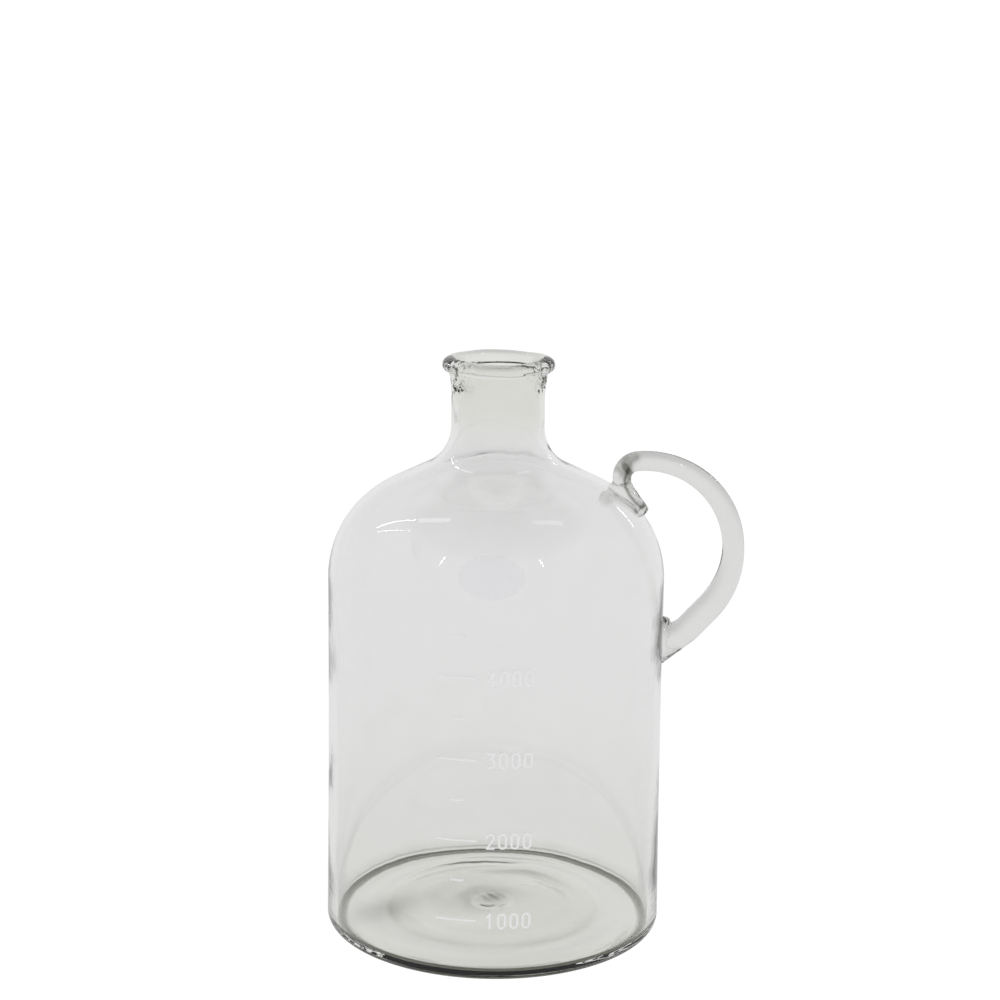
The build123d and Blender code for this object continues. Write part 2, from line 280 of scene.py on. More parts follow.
def outside_move(r, z, theta):
    """Folds of the outside just below the lip."""
    if z < NECK_FLARE_START - 1 or z > NECK_TOP - 0.05:
        return 0.0
    total = 0.0
    for angle, height, size, spread, rise in FOLDS:
        away = degrees_from(theta, angle)
        if abs(away) < 2.2 * spread:
            place = Vector((theta * r / FOLD_PERIOD, z / (1.5 * FOLD_PERIOD), angle))
            ridge = 0.55 - abs(noise.noise(place)) * 2.2
            ridge += 0.5 * noise.noise(place * 2.3)
            total += size * ridge * math.exp(-((away / spread) ** 2) - ((z - height) / rise) ** 2)
    return total * ease(NECK_TOP - z, 0, 1.2)


def lip_move(r, z, theta):
    share = ease(z, NECK_TOP, NECK_TOP + 2.5)
    rough = 0.0
    for angle, height, size, spread, rise in FOLDS:
        away = degrees_from(theta, angle)
        rough += 0.3 * size * math.exp(-((away / (1.6 * spread)) ** 2))
    place = Vector((theta * LIP_RADIUS / FOLD_PERIOD, z / FOLD_PERIOD, 4.0))
    return share * (waves(theta, z, LIP_WAVES) + rough * noise.noise(place))


# ------------------------------------------------------------------ meshes
class Build:
    """Vertices and faces of one piece, with a material place for each face."""

    def __init__(self):
        self.points, self.faces, self.places = [], [], []

    def point(self, p):
        self.points.append(tuple(p))
        return len(self.points) - 1

    def face(self, indices, place=0):
        if len(set(indices)) >= 3:
            self.faces.append(list(indices))
            self.places.append(place)


def revolve(build, run_at, count, weld_from=None, weld_to=None, skip=None):
    """Rings round the axis. run_at(theta) gives the outline; ring numbers are returned."""
    rings = [[None] * SEGMENTS for _ in range(count)]
    for j in range(SEGMENTS):
        theta = TURN * j / SEGMENTS
        c, s = math.cos(theta), math.sin(theta)
        for k, (r, z) in enumerate(run_at(theta)):
            if r < 1e-6:
                rings[k][j] = rings[k][0] if j else build.point((0, 0, z))
            else:
                rings[k][j] = build.point((r * c, r * s, z))
    for k in range(count - 1):
        place = 1 if weld_from is not None and weld_from <= k < weld_to else 0
        for j in range(SEGMENTS):
            if skip and skip(k, j):
                continue
            n = (j + 1) % SEGMENTS
            quad = [rings[k][j], rings[k][n], rings[k + 1][n], rings[k + 1][j]]
            build.face(list(dict.fromkeys(quad)), place)
    return rings


def volume_of(build):
    """Six times the volume the faces close in, negative if they face inwards."""
    total = 0.0
    for face in build.faces:
        a = Vector(build.points[face[0]])
        for i, j in zip(face[1:], face[2:]):
            total += a.dot(Vector(build.points[i]).cross(Vector(build.points[j])))
    return total


def make_mesh(name, build, materials, depth=None, crease=38):
    """The finished piece. depth(x, y, z) says how deep the glass looks at a point, 0 to 1; on the
    body and the handle it also carries painted shade.
    """
    if volume_of(build) < 0:
        build.faces = [face[::-1] for face in build.faces]
    used = sorted({i for face in build.faces for i in face})
    points = [build.points[i] for i in used]
    number = {old: new for new, old in enumerate(used)}
    faces = [[number[i] for i in face] for face in build.faces]
    mesh = bpy.data.meshes.new(name)
    mesh.from_pydata([(x * MM, y * MM, z * MM) for x, y, z in points], [], faces)
    for material in materials:
        mesh.materials.append(material)
    mesh.polygons.foreach_set("material_index", build.places)
    mesh.polygons.foreach_set("use_smooth", [True] * len(build.faces))
    mesh.update()
    mesh.set_sharp_from_angle(angle=math.radians(crease))
    if depth:
        attribute = mesh.attributes.new("depth", "FLOAT", "POINT")
        attribute.data.foreach_set("value", [depth(*p) for p in points])
    piece = bpy.data.objects.new(name, mesh)
    bpy.context.scene.collection.objects.link(piece)
    return piece


# ------------------------------------------------------------------ outside surface
outer_s = [0.0]
for before, after in zip(outer_run, outer_run[1:]):
    outer_s.append(outer_s[-1] + math.dist(before, after))
outer_r = [p[0] for p in outer_run]
outer_z = [p[1] for p in outer_run]
shoulder_first = len(heel_run) + len(wall_run) - 2


def outside_at(s):
    return float(np.interp(s, outer_s, outer_r)), float(np.interp(s, outer_s, outer_z))


def s_of_height(z):
    return float(np.interp(z, outer_z, outer_s))


def s_of_radius(r):
    """Place on the shoulder, slope or neck with this radius."""
    radii = outer_r[shoulder_first:][::-1]
    return float(np.interp(r, radii, outer_s[shoulder_first:][::-1]))


def s_of_point(r, z):
    return s_of_height(z) if z < SHOULDER_HEIGHT else s_of_radius(r)


def outside_point(theta, s):
    r, z = outside_at(s)
    return Vector((r * math.cos(theta), r * math.sin(theta), z))


def outside_normal(theta, s):
    r0, z0 = outside_at(s - 0.4)
    r1, z1 = outside_at(s + 0.4)
    flat = Vector((z1 - z0, r0 - r1)).normalized()
    return Vector((flat[0] * math.cos(theta), flat[0] * math.sin(theta), flat[1]))


def hermite(p0, p1, t0, t1, t):
    return (
        p0 * (2 * t**3 - 3 * t**2 + 1)
        + t0 * (t**3 - 2 * t**2 + t)
        + p1 * (-2 * t**3 + 3 * t**2)
        + t1 * (t**3 - t**2)
    )


# ------------------------------------------------------------------ handle line
LOOP_X, LOOP_Z, LOOP_RADIUS = 78.2, 207.6, 47.5
LOOP_START = math.radians(-43)
CROOK_RADIUS = 8.8
CROOK_X = 73.6
ROD_LOWER, ROD_OUTER, ROD_TOP, ROD_CROOK = 14.4, 11.8, 10.4, 9.8
LOWER_END = 14.5        # straight end of the rod, down to the lower foot
LOWER_STEPS, LOOP_STEPS, CROOK_STEPS, UPPER_STEPS = 10, 110, 20, 6



def loop_point(a):
    return Vector((LOOP_X + LOOP_RADIUS * math.cos(a), 0, LOOP_Z + LOOP_RADIUS * math.sin(a)))


def away_at(a):
    return Vector((math.cos(a), 0, math.sin(a)))


def way_at(a):
    return Vector((-math.sin(a), 0, math.cos(a)))


crook_reach = CROOK_X - LOOP_X
crook_angle = math.atan2(math.sqrt(LOOP_RADIUS**2 - crook_reach**2), crook_reach)
crook_centre = loop_point(crook_angle) - CROOK_RADIUS * away_at(crook_angle)


def handle_line():
    """The middle of the rod from the lower foot to the upper one, as (point, way, radius)."""
    points = []
    start, way = loop_point(LOOP_START), way_at(LOOP_START)
    for k in range(LOWER_STEPS):
        points.append((start - way * LOWER_END * (1 - k / LOWER_STEPS), way, ROD_LOWER / 2))
    for k in range(LOOP_STEPS + 1):
        a = LOOP_START + (crook_angle - LOOP_START) * k / LOOP_STEPS
        if a < 0:
            diameter = ROD_OUTER + (ROD_LOWER - ROD_OUTER) * a / LOOP_START
        else:
            diameter = ROD_OUTER + (ROD_TOP - ROD_OUTER) * a / crook_angle
        points.append((loop_point(a), way_at(a), diameter / 2))
    for k in range(1, CROOK_STEPS + 1):
        a = crook_angle + (math.pi - crook_angle) * k / CROOK_STEPS
        diameter = ROD_TOP + (ROD_CROOK - ROD_TOP) * k / CROOK_STEPS
        points.append((crook_centre + CROOK_RADIUS * away_at(a), way_at(a), diameter / 2))
    last = points[-1][0]
    for k in range(1, UPPER_STEPS + 1):
        z = last.z + (UPPER_END_HEIGHT - last.z) * k / UPPER_STEPS
        points.append((Vector((last.x, 0, z)), Vector((0, 0, -1)), ROD_CROOK / 2))
    return points


rod = handle_line()


def near_path(x, z, path):
    """Distance from a point to a path of (x, z) points."""
    best = 1e9
    for (ax, az), (bx, bz) in zip(path, path[1:]):
        dx, dz = bx - ax, bz - az
        t = min(1.0, max(0.0, ((x - ax) * dx + (z - az) * dz) / (dx * dx + dz * dz)))
        best = min(best, math.hypot(x - ax - t * dx, z - az - t * dz))
    return best


# Painted shade: dark lines where the rod was folded down onto the shoulder and at the lower foot's
# edges, standing in for the shade of the folded glass: path, half width, depth
INNER_FOLD_SHADE = [
    (68.4, 250.9), (66.9, 246.0), (67.4, 242.0), (70.1, 237.3), (73.3, 233.2), (76.0, 231.2),
]
OUTER_FOLD_SHADE = [
    (70.6, 246.0), (72.6, 242.0), (76.2, 238.0), (78.6, 234.6), (77.8, 231.5), (75.6, 230.2),
]
FOLD_SHADE_DARKEST = 0.97
ROD_FOLD_SHADES = [
    ([(73.0, 257.6), (70.0, 255.6), (68.4, 250.9)], 1.9, 0.75),
    (INNER_FOLD_SHADE, 0.95, FOLD_SHADE_DARKEST),
    (OUTER_FOLD_SHADE, 0.95, FOLD_SHADE_DARKEST),
    ([(63.5, 252.0), (65.4, 248.6)], 1.1, 0.5),
    ([(88.0, 171.8), (93.9, 170.8)], 1.1, 0.6),
    ([(89.3, 149.2), (92.6, 147.4)], 1.0, 0.7),
]


# painted shade in the folds of the handle and at the edges of its lower foot
def painted_rod_fold_shade(x, y, z):
    total = 0.0
    for path, width, depth in ROD_FOLD_SHADES:
        total += depth * math.exp(-((near_path(x, z, path) / width) ** 2))
    return min(FOLD_SHADE_DARKEST, total)


ROD_FADE = 8            # steps over which the rod's unevenness sets in at both ends


def rod_ring(k, uneven=True):
    """Ring of points round the rod. Angle 0 is on the outside of the loop's bend."""
    middle, way, radius = rod[k]
    out = way.cross(Vector((0, 1, 0)))
    fade = ease(k, 0, ROD_FADE) * ease(len(rod) - 1 - k, 0, ROD_FADE)
    ring = []
    for i in range(AROUND):
        a = TURN * i / AROUND
        grow = 1.0
        if uneven:
            ripple = 0.012 * math.sin(3 * a + k * 0.045) + 0.008 * math.sin(5 * a - k * 0.03 + 1)
            grow += fade * (ripple + 0.012 * math.sin(k * 0.11))
        ring.append(middle + radius * grow * (out * math.cos(a) + Vector((0, 1, 0)) * math.sin(a)))
    return ring


# ------------------------------------------------------------------ feet
UPPER_FOOT_X = 65.0
UPPER_TAIL, UPPER_BACK = 12.7, 6.3      # reach down and up the shoulder from there
UPPER_HALF_WIDTH, UPPER_TAPER = 7.9, 0.42
LOWER_FOOT_HEIGHT = 157.4
LOWER_HALF_HEIGHT, LOWER_HALF_WIDTH = 12.9, 10.0
SEAT_PLACE = 0          # the seat of a foot is clear glass, not a weld
SEAT_GAP = 0.03
SEAT_MARGIN = 1.2       # cut away round a seat and filled again
SEAT_CLEARANCE = 0.75   # the body's own points keep this far from a seat's edge
ROLL_STEPS = 14         # down the side of a foot to its rolled edge
SIDE_STEPS = 22         # down the whole side


def foot_loop(kind):
    """Edge of a foot's seat on the glass, as (theta, s) going round from angle 0."""
    loop = []
    for i in range(AROUND):
        a = TURN * i / AROUND
        c, s = math.cos(a), math.sin(a)
        if kind == "upper":
            x = UPPER_FOOT_X + (UPPER_TAIL if c > 0 else UPPER_BACK) * c
            y = UPPER_HALF_WIDTH * s * (1 - UPPER_TAPER * max(0.0, c) ** 1.3)
            loop.append((math.atan2(y, x), s_of_radius(math.hypot(x, y))))
        else:
            z = LOWER_FOOT_HEIGHT - LOWER_HALF_HEIGHT * c
            y = LOWER_HALF_WIDTH * s
            loop.append((math.asin(y / FOOT_RADIUS), s_of_height(z)))
    return loop


def seat_region(loop):
    """Steps of the outline and segments to both sides that imprint() fills again."""
    reach = int(max(abs(theta) for theta, s in loop) / (TURN / SEGMENTS)) + 2
    lengths = [s for theta, s in loop]
    low = max(k for k in range(len(outer_s)) if outer_s[k] < min(lengths) - SEAT_MARGIN)
    high = min(k for k in range(len(outer_s)) if outer_s[k] > max(lengths) + SEAT_MARGIN)
    return low, high, reach


def imprint(build, rings, first, loop):
    """Cuts a foot's seat into the outside surface. Returns the seat's triangles and its edge."""
    step = TURN / SEGMENTS
    low, high, reach = seat_region(loop)
    scale = outer_r[(low + high) // 2]
    edge = [Vector((t * scale, s)) for t, s in loop]
    flat, owner = [], []
    corner = {}
    for k in range(low, high + 1):
        for j in range(-reach, reach + 1):
            spot = Vector((j * step * scale, outer_s[k]))
            border = k in (low, high) or abs(j) == reach
            if not border and min((spot - e).length for e in edge) < SEAT_CLEARANCE:
                continue
            corner[k, j] = len(flat)
            flat.append(spot)
            owner.append(rings[first + k][j % SEGMENTS])
    fences = []
    for k in range(low, high):
        for j in (-reach, reach):
            fences.append((corner[k, j], corner[k + 1, j]))
    for j in range(-reach, reach):
        for k in (low, high):
            fences.append((corner[k, j], corner[k, j + 1]))
    start = len(flat)
    edge_owner = []
    for (t, s), spot in zip(loop, edge):
        flat.append(spot)
        number = build.point(outside_point(t, s))
        edge_owner.append(number)
        owner.append(number)
    fences += [(start + i, start + (i + 1) % len(loop)) for i in range(len(loop))]
    out = geometry.delaunay_2d_cdt(flat, fences, [], 0, 1e-6)
    numbers = [owner[ids[0]] if ids else None for ids in out[3]]
    seat = []
    for tri in out[2]:
        centre = sum((out[0][i] for i in tri), Vector((0, 0))) / 3
        inside = False
        for e, f in zip(edge, edge[1:] + edge[:1]):
            if (e.y > centre.y) != (f.y > centre.y):
                if centre.x < (f.x - e.x) * (centre.y - e.y) / (f.y - e.y) + e.x:
                    inside = not inside
        ids = [numbers[i] for i in tri]
        build.face(ids, SEAT_PLACE if inside else 0)
        if inside:
            seat.append(ids)
    return seat, edge_owner


def foot_side(kind, a, out):
    """A foot's side at one angle of its edge, where out is the way off the seat: height and inset
    of the rolled edge, how the side leaves the rod and arrives there, and how far it is rolled."""
    c = math.cos(a)
    down, up = max(0.0, c), max(0.0, -c)
    if kind == "upper":
        tall = 5.0 - 0.6 * down - 3.2 * up**2
        inset = 2.8 - 0.1 * down - 2.1 * up**2
        leave = Vector((0, 0, -1)) * (3.0 + 4.0 * (1 - up))
        return tall, inset, leave, out * (2.0 + 7.0 * down), 1.0
    return 4.4, 2.8, -rod[0][1] * (6.0 + 6.0 * (1 - up)), out * 3.0, up**1.5 * 0.9 + 0.1


def foot_piece(kind, body, seat, edge_owner, loop, ring):
    """A foot's closed mesh: seat on the glass, flowing side, and the cap where the rod goes on."""
    foot = Build()
    number = {}
    for tri in seat:
        for i in tri:
            if i not in number:
                number[i] = foot.point(body.points[i])
        foot.face([number[i] for i in reversed(tri)], SEAT_PLACE)
    for i in number:
        lifted = Vector(body.points[i])
        across = math.hypot(lifted.x, lifted.y)
        normal = outside_normal(math.atan2(lifted.y, lifted.x), s_of_point(across, lifted.z))
        foot.points[number[i]] = tuple(lifted + normal * SEAT_GAP)
    edge = [number[i] for i in edge_owner]
    cap = [foot.point(p) for p in ring]
    middle = foot.point(sum(ring, Vector((0, 0, 0))) / len(ring))
    columns = []
    n = len(loop)
    for i in range(n):
        theta, s = loop[i]
        p1 = Vector(foot.points[edge[i]])
        before, after = Vector(foot.points[edge[i - 1]]), Vector(foot.points[edge[(i + 1) % n]])
        normal = outside_normal(theta, s)
        out = (after - before).cross(normal).normalized()
        centre = sum((Vector(foot.points[e]) for e in edge), Vector((0, 0, 0))) / n
        if out.dot(p1 - centre) < 0:
            out = -out
        tall, inset, leave, arrive, lobe = foot_side(kind, TURN * i / n, out)
        heart = p1 - out * inset
        brow = heart + normal * tall
        # a rolled edge where there is a lobe, and a plain flare elsewhere
        flare_end = (out * 0.6 - normal * 0.8) * 7.0
        column = [cap[i]]
        for k in range(1, SIDE_STEPS):
            if k <= ROLL_STEPS:
                rolled = hermite(ring[i], brow, leave, arrive, k / ROLL_STEPS)
            else:
                t = HALF_PI * (k - ROLL_STEPS) / (SIDE_STEPS - ROLL_STEPS)
                rolled = heart + normal * (tall * math.cos(t)) + out * (inset * math.sin(t))
            plain = hermite(ring[i], p1, leave, flare_end, k / SIDE_STEPS)
            column.append(foot.point(rolled * lobe + plain * (1 - lobe)))
        column.append(edge[i])
        columns.append(column)
    for i in range(n):
        j = (i + 1) % n
        for k in range(len(columns[i]) - 1):
            foot.face([columns[i][k], columns[i][k + 1], columns[j][k + 1], columns[j][k]])
        foot.face([cap[i], cap[j], middle], 1)
    return foot


# ------------------------------------------------------------------ materials
def nodes_of(material):
    material.use_nodes = True
    tree = material.node_tree
    tree.nodes.clear()
    out = tree.nodes.new("ShaderNodeOutputMaterial")
    return tree, out


CLEAR_TINT = (0.965, 0.965, 0.964)
LOW_TINT = (0.885, 0.885, 0.84)
LOW_DEPTH = 0.1
# the deep end of the tint also paints the shade at the heel, the floor's edge and the handle's
# folds
DEEP_TINT_AND_SHADE = (0.03, 0.035, 0.02)
CLOUD = (0.98, 0.981, 0.978)


def glass_material(name, tint=CLEAR_TINT, low=LOW_TINT, bump=0.02, scale=60.0):
    """Clear glass, a little uneven in tint and surface, and darker where the depth attribute is
    high, which also paints shade onto the glass.
    """
    material = bpy.data.materials.new(name)
    tree, out = nodes_of(material)
    shade = tree.nodes.new("ShaderNodeBsdfPrincipled")
    shade.inputs["Transmission Weight"].default_value = 1.0
    shade.inputs["IOR"].default_value = 1.5
    shade.inputs["Roughness"].default_value = 0.0
    place = tree.nodes.new("ShaderNodeTexCoord")
    cloud = tree.nodes.new("ShaderNodeTexNoise")
    cloud.inputs["Scale"].default_value = scale
    cloud.inputs["Detail"].default_value = 2.0
    depth = tree.nodes.new("ShaderNodeAttribute")
    depth.attribute_name = "depth"
    sink = tree.nodes.new("ShaderNodeValToRGB")
    sink.color_ramp.elements.new(LOW_DEPTH)
    for element, colour in zip(sink.color_ramp.elements, (tint, low, DEEP_TINT_AND_SHADE)):
        element.color = (*colour, 1)
    mix = tree.nodes.new("ShaderNodeMix")
    mix.data_type = "RGBA"
    mix.blend_type = "MULTIPLY"
    mix.inputs["B"].default_value = (*CLOUD, 1)
    ramp = tree.nodes.new("ShaderNodeMapRange")
    ramp.inputs["From Min"].default_value = 0.45
    ramp.inputs["From Max"].default_value = 0.9
    lump = tree.nodes.new("ShaderNodeBump")
    lump.inputs["Strength"].default_value = bump
    lump.inputs["Distance"].default_value = 0.002
    tree.links.new(place.outputs["Object"], cloud.inputs["Vector"])
    tree.links.new(cloud.outputs["Fac"], ramp.inputs["Value"])
    tree.links.new(ramp.outputs["Result"], mix.inputs["Factor"])
    tree.links.new(depth.outputs["Fac"], sink.inputs["Fac"])
    tree.links.new(sink.outputs["Color"], mix.inputs["A"])
    tree.links.new(mix.outputs["Result"], shade.inputs["Base Color"])
    tree.links.new(cloud.outputs["Fac"], lump.inputs["Height"])
    tree.links.new(lump.outputs["Normal"], shade.inputs["Normal"])
    tree.links.new(shade.outputs["BSDF"], out.inputs["Surface"])
    return material


def weld_material():
    """Faces inside the glass where two pieces are welded: light goes straight through."""
    material = bpy.data.materials.new("weld_inside_glass")
    tree, out = nodes_of(material)
    clear = tree.nodes.new("ShaderNodeBsdfTransparent")
    tree.links.new(clear.outputs["BSDF"], out.inputs["Surface"])
    return material


def enamel_material(name, colour, low_colour, roughness, alpha, scale):
    material = bpy.data.materials.new(name)
    tree, out = nodes_of(material)
    shade = tree.nodes.new("ShaderNodeBsdfPrincipled")
    shade.inputs["Roughness"].default_value = roughness
    shade.inputs["Alpha"].default_value = alpha
    place = tree.nodes.new("ShaderNodeTexCoord")
    grain = tree.nodes.new("ShaderNodeTexNoise")
    grain.inputs["Scale"].default_value = scale
    grain.inputs["Detail"].default_value = 4.0
    mix = tree.nodes.new("ShaderNodeMix")
    mix.data_type = "RGBA"
    mix.inputs["A"].default_value = (*colour, 1)
    mix.inputs["B"].default_value = (*low_colour, 1)
    tree.links.new(place.outputs["Object"], grain.inputs["Vector"])
    tree.links.new(grain.outputs["Fac"], mix.inputs["Factor"])
    tree.links.new(mix.outputs["Result"], shade.inputs["Base Color"])
    tree.links.new(shade.outputs["BSDF"], out.inputs["Surface"])
    return material


LIP_TINT = (0.94, 0.945, 0.932)
ROD_TINT = (0.875, 0.875, 0.868)
ROD_LOW_TINT = (0.8, 0.8, 0.78)
WHITE, LOW_WHITE = (0.97, 0.97, 0.97), (0.93, 0.93, 0.935)
MATT, LOW_MATT = (0.76, 0.76, 0.86), (0.85, 0.85, 0.9)
body_glass = glass_material("body_glass")
lip_glass = glass_material("lip_glass", tint=LIP_TINT, scale=90.0, bump=0.05)
rod_glass = glass_material("rod_glass", tint=ROD_TINT, low=ROD_LOW_TINT, scale=70.0, bump=0.012)
weld = weld_material()
white_enamel = enamel_material("white_enamel", WHITE, LOW_WHITE, 0.35, 0.92, 900.0)
matt_enamel = enamel_material("matt_enamel", MATT, LOW_MATT, 0.6, 0.12, 400.0)

# ------------------------------------------------------------------ how deep the glass looks, and painted shade
# Painted shade: a dark band round the foot of the glass, standing in for the shadowed floor under
# the jug; it is taller at the front than at the back.
HEEL_SHADE_FRONT_HEIGHT = 4.4   # height of the dark band at the foot
HEEL_SHADE_BACK_HEIGHT = 1.3
HEEL_SHADE_DARKEST = 0.97


def bell(x, centre, width):
    return math.exp(-(((x - centre) / width) ** 2))


def floor_shade(x, y, r, theta):
    """Grey streaks in the thick glass of the floor, and a dark patch in its middle."""
    shade = 0.075 + 0.02 * math.sin(theta * 2 + r / 17)
    wobble = 2.0 * math.sin(3 * theta + 0.6) + 1.2 * math.sin(7 * theta)
    grain = 0.75 + 0.3 * math.sin(x * 1.1 + y * 0.7)
    shade += 0.8 * bell(math.hypot(x * 0.9, y - 2.5), 0, 6.5) * grain
    shade += 0.2 * bell(math.hypot(x + 5, (y - 5) * 0.8), 0, 17.0)
    shade += 0.22 * bell(r, 16 + 0.8 * wobble, 5.0) * (0.5 + 0.5 * math.cos(theta - 2.4))
    shade += 0.17 * bell(r, 60 + 0.8 * wobble, 5.5) * (0.5 - 0.5 * math.sin(theta)) ** 2
    shade += 0.6 * bell(r, 45 + wobble, 3.2) * max(0.0, math.cos(theta - 1.15)) ** 6
    shade += 0.5 * bell(x, -60 + 0.5 * wobble, 18) * bell(y, -10 + 0.3 * (x + 64), 17)
    shade += 0.1 * bell(r, 31 + 1.5 * wobble, 7) * max(0.0, math.cos(theta - 2.6))
    return shade


def painted_neck_fold_shade(z, theta):
    """Painted shade: dark green patches in the folds below the lip."""
    total = 0.0
    if z > NECK_FLARE_START - 1:
        for angle, height, size, spread, rise in FOLDS[:2]:
            away = degrees_from(theta, angle)
            patch = 0.25 + noise.noise(Vector((theta * 9, z / 2.4, angle)))
            total += 0.5 * max(0.0, patch) * bell(away, 0, spread) * bell(z, height, rise)
    return total


def body_tint_and_painted_shade(x, y, z):
    """Painted shade: dark lines at the edge of the floor and a dark band at the heel, where the
    shadowed floor under the jug is seen through the glass. Also a little darker in the neck.
    """
    r = math.hypot(x, y)
    theta = math.atan2(y, x)
    inner_edge, floor = 0.0, 0.0
    on_inside = z > 1.5 and r < FOOT_RADIUS - GLASS
    if on_inside and z < 11:
        # painted shade: dark lines along the floor's edge and the inner heel
        inner_edge = 0.8 * bell(r, inner_heel_centre[0] + 0.3, 0.7) * bell(z, FLOOR_EDGE, 0.7)
        inner_edge += 0.55 * bell(r, inner_foot[0] - 0.3, 0.45) * bell(z, FLOOR_EDGE + 1.9, 0.7)
        floor = floor_shade(x, y, r, theta)
    heel = 0.0
    # painted shade: a dark band round the heel, taller at the front
    back = ease(math.sin(theta), -0.7, 0.5)
    if r > FOOT_RADIUS - HEEL - 5:
        top = HEEL_SHADE_FRONT_HEIGHT + (HEEL_SHADE_BACK_HEIGHT - HEEL_SHADE_FRONT_HEIGHT) * back
        heel = HEEL_SHADE_DARKEST * (1 - ease(z, 0.75 * top, top))
    neck = 0.055 * ease(z, THROAT_TOP - 12, THROAT_TOP + 8)
    low = 0.03 * (1 - ease(z, 10, 130))
    return min(1.0, inner_edge + heel + neck + floor + low + painted_neck_fold_shade(z, theta))


def lip_depth(x, y, z):
    """The lip looks darker and greener where its ends are seen edge on."""
    theta = math.atan2(y, x)
    patch = 0.55 + 0.9 * noise.noise(Vector((theta * 5, z / 3.0, 2.0)))
    return min(0.6, 0.04 + 0.4 * max(0.0, patch) * abs(math.cos(theta)) ** 8)


def pontil_depth(x, y, z):
    return 0.03 + 0.4 * bell(math.hypot(x * 0.9, y - 2.5), 0, 7.0)


# ------------------------------------------------------------------ glass body
outside_first = len(kick_run) + len(rest_run) - 2
body_outline = joined(kick_run, rest_run, outer_run, neck_weld, inner_run)
weld_first = outside_first + len(outer_run) - 1
inside_first = weld_first + len(neck_weld) - 1


def body_run_at(theta):
    inside = moved_along(inner_run, theta, inside_move)
    inside[0] = inner_run[0]
    inside[-1] = inner_run[-1]
    flare = moved_along(flare_run, theta, outside_move)
    before = weld_first - FLARE_STEPS
    return body_outline[:before] + flare + body_outline[weld_first + 1 : inside_first] + inside


upper_loop = foot_loop("upper")
lower_loop = foot_loop("lower")
regions = [seat_region(upper_loop), seat_region(lower_loop)]


def in_seat_region(k, j):
    turn = j if j < SEGMENTS / 2 else j - SEGMENTS
    for low, high, reach in regions:
        if low <= k - outside_first < high and -reach <= turn < reach:
            return True
    return False


body = Build()
body_rings = revolve(body, body_run_at, len(body_outline), weld_first, inside_first, in_seat_region)
upper_seat, upper_edge = imprint(body, body_rings, outside_first, upper_loop)
lower_seat, lower_edge = imprint(body, body_rings, outside_first, lower_loop)


def weld_pontil():
    """The middle of the underside belongs to the pontil mark's weld."""
    for number, face in enumerate(body.faces):
        points = [body.points[i] for i in face]
        if all(z < KICK + 0.2 and math.hypot(x, y) < PONTIL_RADIUS + 0.01 for x, y, z in points):
            body.places[number] = 1


weld_pontil()
glass_body = make_mesh("glass_body_glass", body, [body_glass, weld], body_tint_and_painted_shade)

# ------------------------------------------------------------------ lip
lip_outer = []
for k in range(13):
    t = k / 12
    lip_outer.append(
        (
            NECK_TOP_RADIUS + (LIP_RADIUS - NECK_TOP_RADIUS) * math.sin(t * HALF_PI),
            NECK_TOP + (LIP_WIDEST_HEIGHT - NECK_TOP) * (1 - math.cos(t * HALF_PI)),
        )
    )
for k in range(1, 17):
    t = k / 16
    lip_outer.append(
        (
            LIP_CREST + (LIP_RADIUS - LIP_CREST) * math.cos(t * HALF_PI),
            LIP_WIDEST_HEIGHT + (LIP_TOP - LIP_WIDEST_HEIGHT) * math.sin(t * HALF_PI),
        )
    )
lip_round = LIP_CREST - BORE
lip_outer += arc((LIP_CREST, LIP_TOP - lip_round), lip_round, HALF_PI, math.pi, 10)[1:]
lip_outer += line((BORE, LIP_TOP - lip_round), (BORE, NECK_TOP), 4)[1:]
lip_outline = joined(lip_outer, neck_weld[::-1])


def lip_run_at(theta):
    moved = moved_along(lip_outer, theta, lip_move)
    moved[0], moved[-1] = lip_outer[0], lip_outer[-1]
    return moved + lip_outline[len(lip_outer):]


lip = Build()
revolve(lip, lip_run_at, len(lip_outline), len(lip_outer) - 1, len(lip_outline) - 1)
lip_piece = make_mesh("lip_ring_glass", lip, [lip_glass, weld], lip_depth)

# ------------------------------------------------------------------ pontil mark
PONTIL_STEPS = 20
SCAR_EDGE, SCAR_CORE = 0.05, 0.6        # thickness at the edge, and how much more in the middle
pontil_top = dome(REST_INNER, 0, KICK, pontil_radii)
pontil_heights = [z for r, z in pontil_top]


def pontil_run_at(theta):
    """A low scar, thick in the middle and thinning out towards its edge."""
    run = []
    for k in range(PONTIL_STEPS + 1):
        r = PONTIL_RADIUS * k / PONTIL_STEPS
        dome_z = float(np.interp(r, pontil_radii, pontil_heights))
        thick = SCAR_EDGE + SCAR_CORE * (1 - ease(r, 0.15 * PONTIL_RADIUS, PONTIL_RADIUS))
        thick += 0.05 * math.sin(3 * theta + 0.5 * r) * math.sin(math.pi * k / PONTIL_STEPS)
        run.append((r, dome_z - thick))
    return run + pontil_top[::-1]


pontil = Build()
pontil_count = PONTIL_STEPS + 1 + len(pontil_top)
revolve(pontil, pontil_run_at, pontil_count, PONTIL_STEPS + 1, pontil_count - 1)
pontil_piece = make_mesh("pontil_mark_glass", pontil, [body_glass, weld], pontil_depth)

# ------------------------------------------------------------------ handle
handle = Build()
rod_numbers = [[handle.point(p) for p in rod_ring(k)] for k in range(len(rod))]
for k in range(len(rod) - 1):
    for i in range(AROUND):
        j = (i + 1) % AROUND
        this, following = rod_numbers[k], rod_numbers[k + 1]
        handle.face([this[i], this[j], following[j], following[i]])
for k, order in ((0, -1), (len(rod) - 1, 1)):
    middle = handle.point(rod[k][0])
    for i in range(AROUND):
        j = (i + 1) % AROUND
        handle.face([rod_numbers[k][i], rod_numbers[k][j], middle][::order], 1)
handle_piece = make_mesh("handle_glass", handle, [rod_glass, weld], painted_rod_fold_shade)

